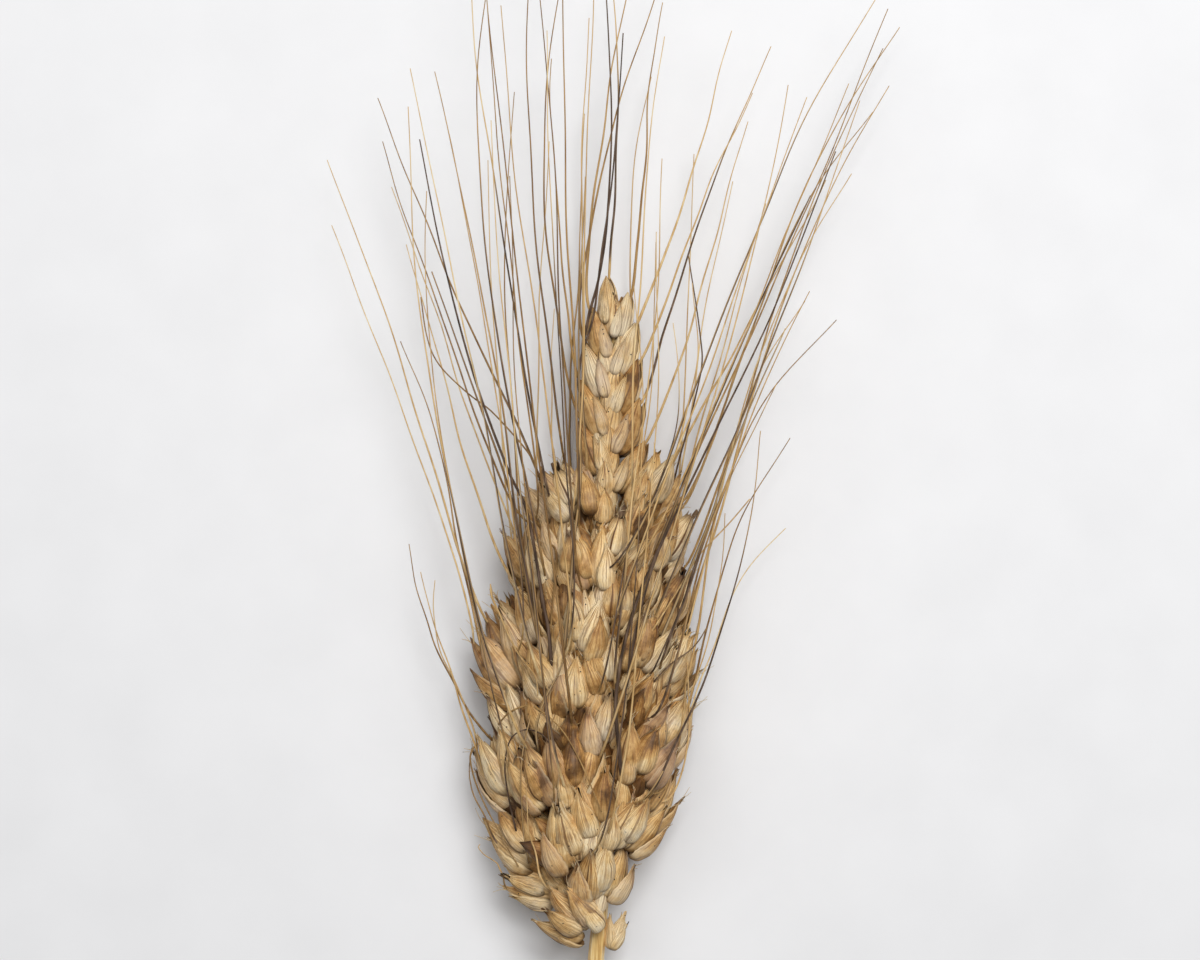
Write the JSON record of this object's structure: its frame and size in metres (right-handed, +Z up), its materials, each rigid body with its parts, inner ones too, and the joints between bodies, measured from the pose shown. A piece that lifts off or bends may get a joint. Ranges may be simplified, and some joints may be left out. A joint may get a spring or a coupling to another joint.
{
  "type": "wheat ear",
  "caption": "Dried ear of branched, bearded wheat with a crowded lower part, a slender two-rowed tip, long fanned awns and a short cut stalk, lying flat.",
  "frame": {"origin": "middle of the ear's bounding box, at the height of the surface it lies on", "axes": "+Y along the ear from the cut stalk to the awn tips, +Z up from the surface it lies on, +X to the right as seen from above with the awns away from the viewer"},
  "size_m": [0.0918, 0.1816, 0.0233],
  "materials": {
    "straw": "satin",
    "husk": "matte"
  },
  "bodies": {
    "root": {"stalk_and_axis": "straw", "bract_tuft": "husk", "spikelet_left_edge_1": "husk", "spikelet_left_edge_2": "husk", "spikelet_left_edge_3": "husk", "spikelet_left_edge_4": "husk", "spikelet_left_edge_5": "husk", "spikelet_left_edge_6": "husk", "spikelet_left_edge_7": "husk", "spikelet_left_edge_8": "husk", "spikelet_front_left_1": "husk", "spikelet_front_left_2": "husk", "spikelet_front_left_3": "husk", "spikelet_front_left_4": "husk", "spikelet_front_left_5": "husk", "spikelet_front_left_6": "husk", "spikelet_front_left_7": "husk", "spikelet_middle_left_1": "husk", "spikelet_middle_left_2": "husk", "spikelet_middle_left_3": "husk", "spikelet_middle_left_4": "husk", "spikelet_middle_left_5": "husk", "spikelet_middle_left_6": "husk", "spikelet_middle_right_1": "husk", "spikelet_middle_right_2": "husk", "spikelet_middle_right_3": "husk", "spikelet_middle_right_4": "husk", "spikelet_middle_right_5": "husk", "spikelet_middle_right_6": "husk", "spikelet_front_right_1": "husk", "spikelet_front_right_2": "husk", "spikelet_front_right_3": "husk", "spikelet_front_right_4": "husk", "spikelet_front_right_5": "husk", "spikelet_front_right_6": "husk", "spikelet_right_edge_1": "husk", "spikelet_right_edge_2": "husk", "spikelet_right_edge_3": "husk", "spikelet_right_edge_4": "husk", "spikelet_right_edge_5": "husk", "spikelet_right_edge_6": "husk", "spikelet_under_left_1": "husk", "spikelet_under_left_2": "husk", "spikelet_under_left_3": "husk", "spikelet_under_left_4": "husk", "spikelet_under_left_5": "husk", "spikelet_under_right_1": "husk", "spikelet_under_right_2": "husk", "spikelet_under_right_3": "husk", "spikelet_under_right_4": "husk", "spikelet_spike_left_1": "husk", "spikelet_spike_left_2": "husk", "spikelet_spike_left_3": "husk", "spikelet_spike_left_4": "husk", "spikelet_spike_right_1": "husk", "spikelet_spike_right_2": "husk", "spikelet_spike_right_3": "husk", "spikelet_spike_right_4": "husk", "spikelet_spike_right_5": "husk", "spikelet_spike_tip_1": "husk"}
  },
  "joints": []
}
